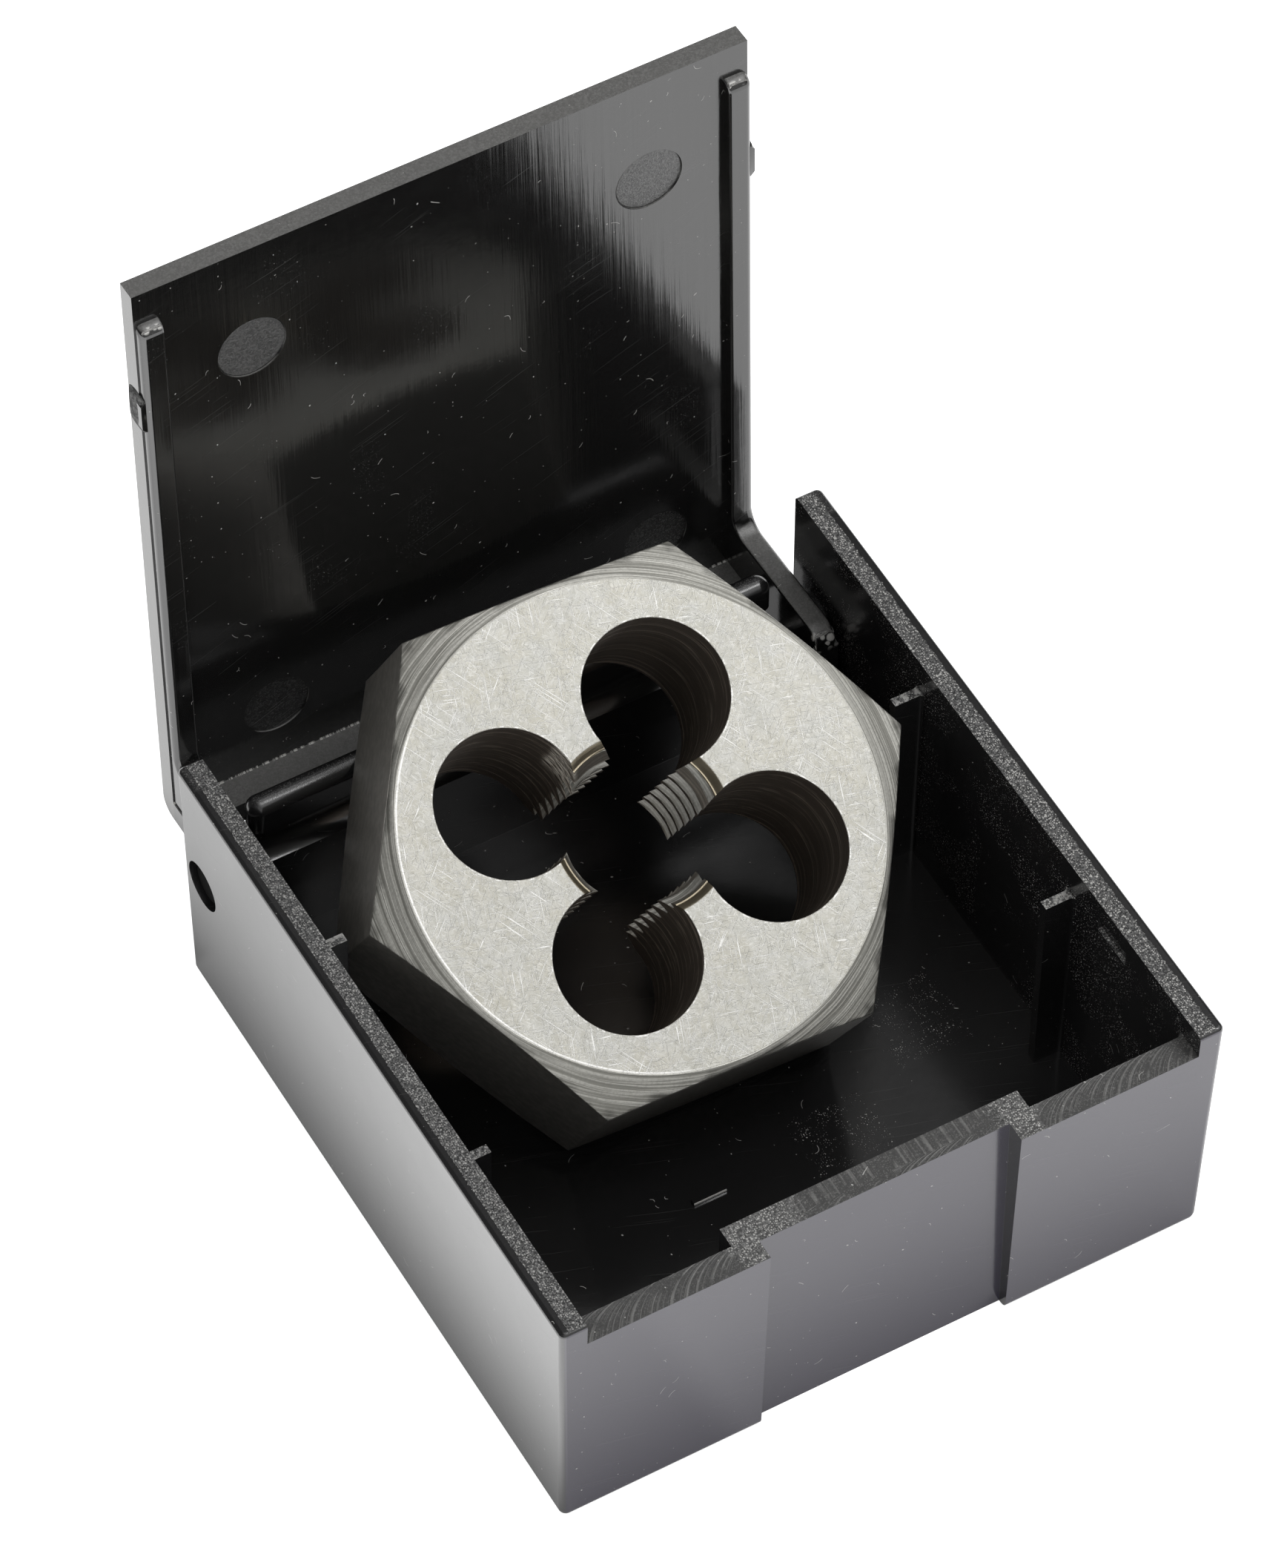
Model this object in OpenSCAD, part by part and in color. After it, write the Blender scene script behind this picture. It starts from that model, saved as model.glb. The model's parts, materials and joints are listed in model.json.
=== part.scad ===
// Hexagon die nut in its hinged plastic case, lid open and the nut leaning on the rear wall.
// Millimetres. The origin is the centre of the case's underside, +Z up and +Y to the hinge.

/* [Nut] */
// Width of the nut across its flats
nut_af = 36; // [30:0.5:44]
// Thickness of the nut
nut_t = 14; // [10:0.5:17]
// How far inside the flats the turned circle on each face lies
face_land = 0.5; // [0.2:0.1:1]
// Slope of the turned corner chamfer on each face
face_slope = 20; // [15:1:30]
// Major diameter of the thread
thread_d = 12; // [10:0.5:14]
// Depth of the lead chamfer at each end of the thread
lead_t = 0.5; // [0.3:0.1:1]
// Number of chip clearance holes
chip_holes = 4; // [3:1:5]
// Diameter of each chip clearance hole
chip_d = 10.7; // [8:0.1:11.5]
// Distance of the chip clearance holes from the nut's axis
chip_r = 9.5; // [8.5:0.1:10.5]

/* [Case] */
// Height of the side walls
case_h = 22.95; // [20:0.05:30]
// Thickness of the side walls at the rim
side_wall = 2; // [1.5:0.05:2.5]
// Thickness of the front wall at its top
front_wall = 2.1; // [1.6:0.1:2.6]
// Thickness of the rear wall at the rim's height
rear_wall = 2.1; // [1.6:0.1:2.6]
// Thickness of the floor
floor_t = 1.9; // [1.4:0.1:2.5]
// How far the front wall stops below the side walls
front_drop = 2.1; // [1.5:0.1:3]
// How far the rear wall stops below the side walls
rear_drop = 6; // [5:0.1:8]
// Slope of the outer faces for the mould
outer_draft = 1; // [0.5:0.1:1.5]
// Slope of the inner faces for the mould
inner_draft = 0.3; // [0.2:0.1:0.5]
// Radius of the upright outer corners
corner_r = 0.5; // [0.5:0.1:1]
// Radius of the side walls' outer upper edges
rim_r = 0.35; // [0.2:0.05:0.45]
// Radius of the lower outer edges
foot_r = 0.6; // [0.3:0.1:1]
// Space before and behind the nut when it lies flat
end_gap = 7.1; // [5:0.1:10]

/* [Thumb recess] */
// Width of the recess in the front wall
recess_w = 19.6; // [14:0.2:24]
// Depth of the recess
recess_depth = 1.6; // [1:0.1:2]
// How far the wall behind the recess is wider than it on each side
recess_side = 1.85; // [1.5:0.05:2.5]

/* [Fins] */
// Length of each fin from the side wall
fin_len = 2.25; // [1.5:0.05:3.5]
// Thickness of each fin
fin_t = 0.75; // [0.5:0.05:1.2]
// Distance between the fins on one wall
fin_pitch = 20.3; // [16:0.1:24]
// How far the left fins lie to the rear of the middle, and the right fins to the front
fin_shift = 0.46; // [0:0.02:1]
// Gap between the fins and the nut's corners
fin_gap = 0.86; // [0.5:0.01:1.5]
// Gap between the fins' tops and the lid's strips
fin_top_gap = 0.1; // [0.1:0.05:0.5]
// Radius of the fillet between a fin and its wall
fin_fillet = 0.4; // [0.2:0.1:0.6]

/* [Lid] */
// Thickness of the lid's plate
lid_t = 1.6; // [1.2:0.1:2.2]
// Gap between the lid and each side wall
lid_gap = 0.3; // [0.2:0.05:0.5]
// Gap between the closed lid and the front wall's top
lid_seat_gap = 0.2; // [0.1:0.05:0.4]
// Gap between the closed lid's ends and the planes of the case's ends
lid_end_gap = 0.05; // [0.05:0.05:0.3]
// How far the lid is opened from closed, as the photograph shows it
lid_open = 92.75; // [0:0.25:120]
// Width of the strip under each side edge, and of the ear that it bends into
strip_w = 1.8; // [1.4:0.05:2.2]
// Height of the strip under each side edge
strip_h = 0.85; // [0.7:0.05:1.2]
// Distance of the strip from the plate's side edge
strip_inset = 0.1; // [0.1:0.05:0.5]
// Radius of the strip's outer lower edge
strip_outer_r = 0.5; // [0.3:0.05:0.6]
// Radius of the strip's inner lower edge
strip_inner_r = 0.2; // [0.1:0.05:0.4]
// Distance of the strip's end from the plate's front edge
strip_end = 2.8; // [2:0.1:4]
// Inner radius of the bend from each strip into its ear
bend_r = 1.4; // [1:0.1:2.5]
// Height of the flange along the lid's rear edge
flange_h = 2.5; // [2:0.1:3.5]
// Thickness of the flange along the lid's rear edge
flange_t = 1.85; // [1.4:0.05:2.4]
// Radius of the lid's outer rear corner
flange_r = 1.3; // [0.5:0.1:1.5]

/* [Snap] */
// Length of the snap nub at its root on the strip
nub_l = 2.9; // [2:0.1:5]
// Length of the snap nub's outer face
nub_tip_l = 2.2; // [1.5:0.1:4]
// How far the nub stands out past the plate's edge
nub_out = 0.22; // [0.1:0.01:0.25]
// Height of the nub
nub_h = 0.6; // [0.4:0.1:0.7]
// Distance from the front of the case to the middle of the nub
nub_y = 11.3; // [8:0.1:14]
// Depth of the groove that each nub drops into
groove_depth = 0.35; // [0.2:0.05:0.6]
// Gap round the nub in its groove
groove_gap = 0.35; // [0.2:0.05:0.6]

/* [Hinge] */
// Distance from the rear face to the hinge line
hinge_back = 2.95; // [2.4:0.05:3.2]
// Height of the hinge line above the underside
hinge_z = 12.55; // [10:0.05:14]
// Diameter of each hinge pin
pin_d = 3.8; // [3:0.1:4.2]
// Radial clearance of each pin in its hole
pin_gap = 0.07; // [0.03:0.01:0.1]
// How far each pin's end lies inside the wall's outer face
pin_recess = 0.6; // [0.3:0.1:1]
// Depth of the lead chamfer at each pin's end
pin_lead = 0.4; // [0.2:0.1:0.6]
// How far each ear reaches in front of the hinge line
ear_front = 3.1; // [2.8:0.1:4]
// How far each ear reaches below the hinge line
ear_below = 4.3; // [3.5:0.1:5.4]
// Radius of the ear's lower corners
ear_r = 1.5; // [1.2:0.1:2.8]
// Width of the slot in the rear wall past each side wall
slot_w = 2.75; // [2.4:0.05:3.5]
// Gap between the closed ear and the slot's sill
slot_gap = 0.5; // [0.3:0.1:1]

/* [Marks of the mould] */
// Diameter of the ejector marks inside the lid
mark_d = 5.2; // [4:0.1:7]
// Depth of the ejector marks
mark_depth = 0.12; // [0.05:0.01:0.3]
// Half the distance between the left and right ejector marks
mark_x = 15.4; // [12:0.1:18]
// How far the ejector marks lie to the right of the lid's middle line
mark_shift = 0.4; // [-1:0.1:1]
// Distance of the ejector marks from the lid's front edge
mark_edge = 9.5; // [6:0.1:12]
// Distance between the front and rear ejector marks
mark_pitch = 37.2; // [30:0.1:38]
// Length of the small bar that the mould leaves on the floor
bar_l = 2.6; // [1.5:0.1:4]
// Width of the bar
bar_w = 0.5; // [0.3:0.05:0.8]
// Height of the bar
bar_h = 0.25; // [0.1:0.05:0.4]
// How far the bar lies to the left of the case's middle line
bar_x = 4.1; // [0:0.1:8]
// Distance of the bar from the front of the case
bar_y = 17.5; // [10:0.1:20]

/* [Pose of the nut] */
// How far the leaning nut reaches past its line of rest on the rear wall
nut_overhang = 4.9; // [3:0.1:6]
// How far the nut is turned about its own axis
nut_twist = -2.5; // [-5:0.5:5]
// How far the nut lies off the case's middle line
nut_shift = -0.15; // [-0.4:0.05:0.4]
// Gap between the resting nut and what carries it
rest_gap = 0.1; // [0.05:0.05:0.3]

/* [Hidden] */
$fn = 64;
eps = 0.01;
big = 200;
cut_margin = 0.5;
over = 1;
chip_turn = 60;
round_fn = 32;
black = [0.06, 0.06, 0.06];
steel = [0.62, 0.61, 0.58];

// The case is sized round the nut
nut_corner_r = nut_af / 2 / cos(30);
case_w = 2 * (nut_corner_r + fin_gap + fin_len + side_wall);
case_d = nut_af + 2 * end_gap + front_wall + rear_wall;
inner_w = case_w - 2 * side_wall;
front_y = -case_d / 2;
rear_y = case_d / 2;
tray_front_y = front_y + front_wall;
tray_rear_y = rear_y - rear_wall;
tray_mid_y = (tray_front_y + tray_rear_y) / 2;
front_top = case_h - front_drop;
rear_top = case_h - rear_drop;

// The rear wall is a plate with a full round along its top and ends
rear_r = (rear_wall - rear_drop * tan(outer_draft)) / 2;
rear_round_y = rear_y - rear_drop * tan(outer_draft) - rear_r;
rear_round_z = rear_top - rear_r;
rear_half = inner_w / 2 - slot_w;

// The hinge line and the lid that turns about it
hinge_y = rear_y - hinge_back;
hinge_hole_r = pin_d / 2 + pin_gap;
ear_end_z = hinge_z - ear_below;
sill_z = ear_end_z - slot_gap;
lid_w = inner_w - 2 * lid_gap;
lid_under = front_top + lid_seat_gap;
lid_top = lid_under + lid_t;
lid_back_y = rear_y - lid_end_gap;
lid_front_y = front_y + lid_end_gap;
strip_under = lid_under - strip_h;
strip_outer = lid_w / 2 - strip_inset;
strip_x = strip_outer - strip_w;
ear_y = hinge_y - ear_front;
nub_z = lid_under - nub_h / 2;
pin_end = case_w / 2 - pin_recess;
fin_top = strip_under - fin_top_gap;

// The nut leans with its lowest corner on the floor and its face on the rear wall's round
nut_reach = nut_corner_r * sin(60 + abs(nut_twist));
lean_run = 2 * nut_reach - nut_overhang;
lean_round = rear_r + rest_gap;
lean_rise = rear_round_z - floor_t - rest_gap;
nut_lean = asin(lean_rise / norm([lean_run, lean_round])) + atan(lean_round / lean_run);
nut_face_z = floor_t + rest_gap + nut_reach * sin(nut_lean);
nut_face_y = rear_round_y - (lean_run - nut_reach) * cos(nut_lean) - lean_round * sin(nut_lean);

// Copies at the four corners of a rectangle that lies inset from the corners low and high
module at_corners(low, high, inset) {
    for (x = [low[0] + inset, high[0] - inset]) {
        for (y = [low[1] + inset, high[1] - inset]) {
            translate([x, y, 0]) children();
        }
    }
}

// A block between two opposite corners
module block(low, high) {
    translate(low) cube(high - low);
}

// Both sides of what is drawn on the right
module both_sides() {
    children();
    mirror([1, 0, 0]) children();
}

// The outer form, drawn in by the draft towards its rounded foot
module case_shell() {
    low = [-case_w / 2, front_y];
    high = [case_w / 2, rear_y];
    foot_inset = (case_h - foot_r) * tan(outer_draft) + foot_r;
    hull() {
        at_corners(low, high, corner_r) translate([0, 0, case_h - rim_r]) rim_corner();
        at_corners(low, high, foot_inset) foot_corner();
    }
}

// A rounded corner of the foot that ends in one point, so that the underside is a plain rectangle
module foot_corner() {
    rotate_extrude($fn = round_fn)
        polygon([[0, foot_r], for (a = [-90 : 30 : 0]) foot_r * [cos(a), 1 + sin(a)]]);
}

// A disc with a full round edge, which rounds the upright corner and the rim at once
module rim_corner() {
    rotate_extrude($fn = round_fn) intersection() {
        translate([corner_r - rim_r, 0]) circle(r = rim_r, $fn = round_fn);
        translate([0, -rim_r]) square([corner_r, 2 * rim_r]);
    }
}

module case_cavity() {
    low = [-inner_w / 2, tray_front_y];
    high = [inner_w / 2, tray_rear_y];
    floor_inset = (case_h - floor_t) * tan(inner_draft) + corner_r;
    hull() {
        at_corners(low, high, corner_r) translate([0, 0, case_h])
            cylinder(r = corner_r, h = over, $fn = round_fn);
        at_corners(low, high, floor_inset) translate([0, 0, floor_t])
            cylinder(r = corner_r, h = eps, $fn = round_fn);
    }
}

// The recess that a thumb opens the lid at, cut parallel to the drafted front face
module thumb_recess() {
    translate([0, front_y + recess_depth, case_h]) rotate([-outer_draft, 0, 0])
        translate([-recess_w / 2, -big, -big / 2]) cube([recess_w, big, big]);
}

// The front wall steps inwards behind the recess
module recess_wall() {
    half = recess_w / 2 + recess_side;
    block([-half, tray_front_y - over, floor_t / 2], [half, tray_front_y + recess_depth, front_top]);
}

// The rear wall between the two slots, with its full round top and ends
module rear_panel() {
    foot_y = rear_round_y - (rear_round_z - sill_z) * tan(outer_draft);
    hull() both_sides() {
        translate([rear_half - rear_r, rear_round_y, rear_round_z]) sphere(r = rear_r, $fn = round_fn);
        translate([rear_half - rear_r, foot_y, sill_z - over]) cylinder(r = rear_r, h = eps, $fn = round_fn);
    }
}

// A fin that keeps the nut off the side wall, with a fillet on each side of its root
module fin(y) {
    wall_x = inner_w / 2;
    tip_x = wall_x - fin_len;
    translate([0, y, 0]) {
        block([tip_x, -fin_t / 2, floor_t - eps], [wall_x + side_wall / 2, fin_t / 2, fin_top]);
        difference() {
            reach = fin_t / 2 + fin_fillet;
            block([wall_x - fin_fillet, -reach, floor_t - eps], [wall_x + side_wall / 2, reach, fin_top]);
            for (side = [-1, 1]) {
                translate([wall_x - fin_fillet, side * reach, 0]) cylinder(r = fin_fillet, h = case_h);
            }
        }
    }
}

// The groove in each side wall that holds the lid's snap nub
module snap_groove() {
    half_l = nub_l / 2 + groove_gap;
    half_h = nub_h / 2 + groove_gap;
    middle = [0, front_y + nub_y, nub_z];
    block(middle + [inner_w / 2 - over, -half_l, -half_h],
          middle + [inner_w / 2 + groove_depth, half_l, half_h]);
}

// The small bar on the floor
module floor_bar() {
    translate([-bar_x - bar_l / 2, front_y + bar_y - bar_w / 2, floor_t - eps])
        cube([bar_l, bar_w, bar_h + eps]);
}

module case_base() {
    front_cut = tray_front_y + cut_margin;
    rear_cut = tray_rear_y - cut_margin;
    color(black) difference() {
        union() {
            difference() {
                case_shell();
                case_cavity();
                block([-inner_w / 2, front_y - over, front_top], [inner_w / 2, front_cut, case_h + over]);
                block([-inner_w / 2, rear_cut, sill_z], [inner_w / 2, rear_y + over, case_h + over]);
            }
            recess_wall();
            rear_panel();
            floor_bar();
            for (y = [-fin_pitch / 2, fin_pitch / 2]) {
                fin(tray_mid_y + y - fin_shift);
                mirror([1, 0, 0]) fin(tray_mid_y + y + fin_shift);
            }
        }
        thumb_recess();
        both_sides() snap_groove();
        translate([-case_w, hinge_y, hinge_z]) rotate([0, 90, 0]) cylinder(r = hinge_hole_r, h = 2 * case_w);
    }
}

// The lid's plate with its rear flange and rounded outer rear corner
module lid_plate() {
    rotate([90, 0, 90]) translate([0, 0, -lid_w / 2]) linear_extrude(lid_w) {
        difference() {
            polygon([
                [lid_front_y, lid_under],
                [lid_front_y, lid_top],
                [lid_back_y, lid_top],
                [lid_back_y, lid_under - flange_h],
                [lid_back_y - flange_t, lid_under - flange_h],
                [lid_back_y - flange_t, lid_under]
            ]);
            translate([lid_back_y - flange_r, lid_top - flange_r]) difference() {
                square(flange_r + over);
                circle(r = flange_r);
            }
        }
    }
}

// The section of the strip and the ear, drawn from its free face inwards along y
module rail_section(depth) {
    inner = [strip_inner_r, strip_inner_r];
    outer = [strip_w - strip_outer_r, strip_outer_r];
    polygon([
        for (a = [180 : 15 : 270]) inner + strip_inner_r * [cos(a), sin(a)],
        for (a = [270 : 15 : 360]) outer + strip_outer_r * [cos(a), sin(a)],
        [strip_w, depth],
        [0, depth]
    ]);
}

// A quarter turn of the section with its free face outside, from the front to the underside
module rail_corner(r) {
    rotate([90, 0, 90]) rotate([0, 0, 180]) rotate_extrude(angle = 90)
        translate([r, 0]) rotate(90) rail_section(r - eps);
}

// A quarter turn of the section with its free face inside, from the ear to the strip
module rail_bend() {
    rotate([90, 0, 90]) rotate_extrude(angle = 90)
        translate([bend_r, 0]) mirror([0, 1]) rotate(-90) rail_section(strip_h);
}

// The strip under each side edge and the front edge of the ear that it bends into
module lid_rail() {
    front = lid_front_y + strip_end + strip_h;
    bend = [ear_y - bend_r, strip_under - bend_r];
    ear_low = ear_end_z + ear_r;
    translate([strip_x, 0, 0]) {
        translate([0, front, lid_under + eps]) rail_corner(strip_h + eps);
        translate([0, bend[0], strip_under]) rotate([90, 0, 0])
            linear_extrude(bend[0] - front) rail_section(strip_h + eps);
        translate([0, bend[0], bend[1]]) rail_bend();
        translate([0, ear_y, ear_low]) linear_extrude(bend[1] - ear_low) rail_section(ear_r);
        translate([0, ear_y + ear_r, ear_low]) rail_corner(ear_r);
    }
}

// The ear behind its front edge, with a rounded lower rear corner
module lid_ear() {
    bend = [ear_y - bend_r, strip_under - bend_r];
    ear_low = ear_end_z + ear_r;
    root = (strip_outer_r + strip_h) / 2;
    translate([strip_x, 0, 0]) rotate([90, 0, 90]) linear_extrude(strip_w) polygon([
        [ear_y + ear_r, ear_end_z],
        for (a = [-90 : 10 : 0]) [lid_back_y - ear_r + ear_r * cos(a), ear_low + ear_r * sin(a)],
        [lid_back_y, lid_under + eps],
        [bend[0], lid_under + eps],
        for (a = [90 : -10 : 0]) bend + (bend_r + root) * [cos(a), sin(a)],
        [ear_y + root, ear_low],
        [ear_y + ear_r, ear_end_z + root]
    ]);
}

// The pin on the outer side of each ear, with a chamfer that helps it into its hole
module hinge_pin() {
    root = strip_outer - strip_w / 2;
    shank = pin_end - pin_lead - root;
    translate([root, hinge_y, hinge_z]) rotate([0, 90, 0]) {
        cylinder(d = pin_d, h = shank);
        translate([0, 0, shank]) cylinder(d1 = pin_d, d2 = pin_d - 2 * pin_lead, h = pin_lead);
    }
}

// The snap nub on the outer side of each strip, narrower at its outer face
module snap_nub() {
    root = strip_outer - strip_w / 2;
    tip = lid_w / 2 + nub_out;
    translate([0, front_y + nub_y, lid_under - nub_h]) linear_extrude(nub_h) polygon([
        [root, -nub_l / 2],
        [strip_outer, -nub_l / 2],
        [tip, -nub_tip_l / 2],
        [tip, nub_tip_l / 2],
        [strip_outer, nub_l / 2],
        [root, nub_l / 2]
    ]);
}

module ejector_marks() {
    for (x = [-mark_x, mark_x]) {
        for (y = [0, mark_pitch]) {
            translate([mark_shift + x, lid_front_y + mark_edge + y, lid_under - over])
                cylinder(d = mark_d, h = over + mark_depth);
        }
    }
}

// The lid in its closed place
module closed_lid() {
    difference() {
        union() {
            lid_plate();
            both_sides() {
                lid_rail();
                lid_ear();
                hinge_pin();
                snap_nub();
            }
        }
        ejector_marks();
    }
}

module case_lid() {
    color(black) translate([0, hinge_y, hinge_z]) rotate([-lid_open, 0, 0])
        translate([0, -hinge_y, -hinge_z]) closed_lid();
}

// The nut standing on its lower face, centred on its axis
module flat_nut() {
    face_r = nut_af / 2 - face_land;
    drop = (nut_corner_r + over - face_r) * tan(face_slope);
    bore_r = thread_d / 2;
    difference() {
        intersection() {
            cylinder(r = nut_corner_r, h = nut_t, $fn = 6);
            rotate_extrude() polygon([
                [0, 0],
                [face_r, 0],
                [nut_corner_r + over, drop],
                [nut_corner_r + over, nut_t - drop],
                [face_r, nut_t],
                [0, nut_t]
            ]);
        }
        translate([0, 0, -over]) cylinder(r = bore_r, h = nut_t + 2 * over);
        translate([0, 0, -eps]) cylinder(r1 = bore_r + lead_t, r2 = bore_r, h = lead_t);
        translate([0, 0, nut_t - lead_t + eps]) cylinder(r1 = bore_r, r2 = bore_r + lead_t, h = lead_t);
        for (hole = [0 : chip_holes - 1]) {
            rotate([0, 0, hole * 360 / chip_holes + chip_turn]) translate([chip_r, 0, -over])
                cylinder(d = chip_d, h = nut_t + 2 * over);
        }
    }
}

module die_nut() {
    color(steel) translate([nut_shift, nut_face_y, nut_face_z]) rotate([nut_lean, 0, 0])
        rotate([0, 0, nut_twist]) flat_nut();
}

case_base();
case_lid();
die_nut();
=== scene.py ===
# A hexagon die nut that leans in its open plastic case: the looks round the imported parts
import json
import math

import bmesh
import bpy
import numpy as np
from mathutils import Matrix, Vector


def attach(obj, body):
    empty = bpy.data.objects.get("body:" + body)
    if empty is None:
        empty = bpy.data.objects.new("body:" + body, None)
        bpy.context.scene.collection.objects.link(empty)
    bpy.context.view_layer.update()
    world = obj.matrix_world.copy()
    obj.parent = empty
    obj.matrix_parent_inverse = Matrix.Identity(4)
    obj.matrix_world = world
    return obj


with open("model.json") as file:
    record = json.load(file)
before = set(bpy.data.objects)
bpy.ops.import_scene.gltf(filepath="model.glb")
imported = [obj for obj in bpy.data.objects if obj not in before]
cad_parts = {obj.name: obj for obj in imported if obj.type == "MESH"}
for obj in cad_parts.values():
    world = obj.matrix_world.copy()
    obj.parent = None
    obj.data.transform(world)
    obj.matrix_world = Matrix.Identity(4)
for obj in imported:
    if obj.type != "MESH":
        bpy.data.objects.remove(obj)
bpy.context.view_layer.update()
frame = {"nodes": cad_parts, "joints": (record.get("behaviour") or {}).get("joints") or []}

# Sizes in metres and places in the row frame
MM = 0.001

# The camera, fitted to the straight edges of the case
CAMERA_AT = Vector((-0.18402, -0.30314, 0.50051))
CAMERA_LOOK = Vector((0.30924, 0.52165, -0.79514))
CAMERA_UP = Vector((0.38851, 0.69387, 0.60631))
FOCAL_PX = 11695.8
PHOTO_HEIGHT_PX = 2115
SENSOR_MM = 36

# The studio
FLOOR_HALF = 2.0
WHITE = (1, 1, 1)
SKY_FOR_DIFFUSE = 0.62
SKY_MIRRORED = 0.08
SKY_OVERHEAD = Vector((0.45, -0.2, 0.87)).normalized()
SKY_FRONT = Vector((0.0, -0.85, 0.53)).normalized()
SKY_FRONT_LEVEL = 0.5
FLOOR_ALBEDO = 0.95
FLOOR_GLOW = 0.66
FLOOR_SEEN_GLOW = 0.86
FLOOR_NEAR = 0.014
SOFTBOX_AWAY = 0.75
SOFTBOX_SIZE = 0.17
SOFTBOX_FROM = Vector((0.36, -0.22, 0.91))
SOFTBOX_WATTS = 0.56

# The case, in millimetres
CASE_H = 22.95
CASE_HALF_W = 25.9
CASE_HALF_L = 27.2
FRONT_TOP = 20.85
FLOOR_T = 1.9
FRONT_Y = -27.2
LID_UNDER = 21.05
LID_FRONT_Y = FRONT_Y + 0.05
LID_HALF_W = 23.59
MARK_X = 15.4
MARK_SHIFT = 0.4
MARK_Y = LID_FRONT_Y + 9.5
MARK_PITCH = 37.2
MARK_R = 2.6
RECESS_Y = FRONT_Y + 1.6
REAR_Y = 25.0
RIM_EDGE = 25.2
ARC_R = 4.5
BAR_X = 4.1
BAR_Y = FRONT_Y + 17.5
DULL_FIELDS = ((16.3, -3.6, 2.8, 3.0), (6.6, -9.6, 2.8, 2.4))
STRIP_TIP_Y = LID_FRONT_Y + 2.8
EAR_Y = 21.15
EAR_END_Z = 8.25
SEAM_Y = 25.3
NUB_Y = FRONT_Y + 11.3
NUB_Z = LID_UNDER + 0.45
NUB_HALF_L = 1.75
NUB_HALF_H = 1.05
NUB_OUT = 0.23

# The nut, in millimetres
NUT_T = 14.0
NUT_TWIST = math.radians(-2.5)
FACE_R = 17.5
BORE_R = 6.0
CREST_R = 5.05
THREAD_PITCH = 1.75
LEAD_T = 0.5
CHIP_R = 5.35
CHIP_AWAY = 9.5
CHIP_HOLES = 4
FIRST_HOLE = math.radians(60)


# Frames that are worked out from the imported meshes

def triangles(node):
    """The corners of a node's triangles and their area vectors."""
    mesh = frame["nodes"][node].data
    mesh.calc_loop_triangles()
    points = np.array([v.co for v in mesh.vertices])
    corners = points[np.array([list(t.vertices) for t in mesh.loop_triangles])]
    areas = np.cross(corners[:, 1] - corners[:, 0], corners[:, 2] - corners[:, 0]) / 2
    return corners, areas


def widest_normal(areas):
    """The direction in which a mesh has its largest flat area."""
    sizes = np.linalg.norm(areas, axis=1)
    keys = np.round(areas / sizes[:, None], 3)
    found, place = np.unique(keys, axis=0, return_inverse=True)
    totals = np.bincount(place.ravel(), weights=sizes)
    return Vector(found[totals.argmax()]).normalized()


def nut_frame():
    """The nut's own frame: origin on its axis at the lower face, +Z along the axis to the upper face."""
    corners, areas = triangles("die_nut")
    axis = widest_normal(areas)
    if axis.z < 0:
        axis = -axis
    volumes = np.einsum("ij,ij->i", corners[:, 0], areas) / 3
    middle = (corners.mean(axis=1) * 0.75 * volumes[:, None]).sum(axis=0) / volumes.sum()
    foot = Vector(middle) - axis * NUT_T * MM / 2
    lean = math.acos(axis.z)
    return Matrix.Translation(foot) @ Matrix.Rotation(lean, 4, "X") @ Matrix.Rotation(NUT_TWIST, 4, "Z")


def lid_opening():
    """How far the lid stands open, in radians, from the way its plate faces."""
    normal = widest_normal(triangles("case_lid")[1])
    if normal.y < 0:
        normal = -normal
    return math.atan2(normal.y, normal.z)


hinge = next(j for j in frame["joints"] if j["name"] == "lid_hinge")
hinge_line = Matrix.Translation(Vector(hinge["pos_m"]))
closed_to_open = hinge_line @ Matrix.Rotation(-lid_opening(), 4, "X") @ hinge_line.inverted()
nut_to_row = nut_frame()


# Camera, floor and light

def make_camera():
    camera = bpy.data.objects.new("camera", bpy.data.cameras.new("camera"))
    bpy.context.scene.collection.objects.link(camera)
    back = -CAMERA_LOOK.normalized()
    right = CAMERA_UP.cross(back).normalized()
    up = back.cross(right)
    camera.matrix_world = Matrix.Translation(CAMERA_AT) @ Matrix((right, up, back)).transposed().to_4x4()
    camera.data.sensor_width = SENSOR_MM
    camera.data.lens = FOCAL_PX / PHOTO_HEIGHT_PX * SENSOR_MM
    camera.data.clip_end = 10
    bpy.context.scene.camera = camera


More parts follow.
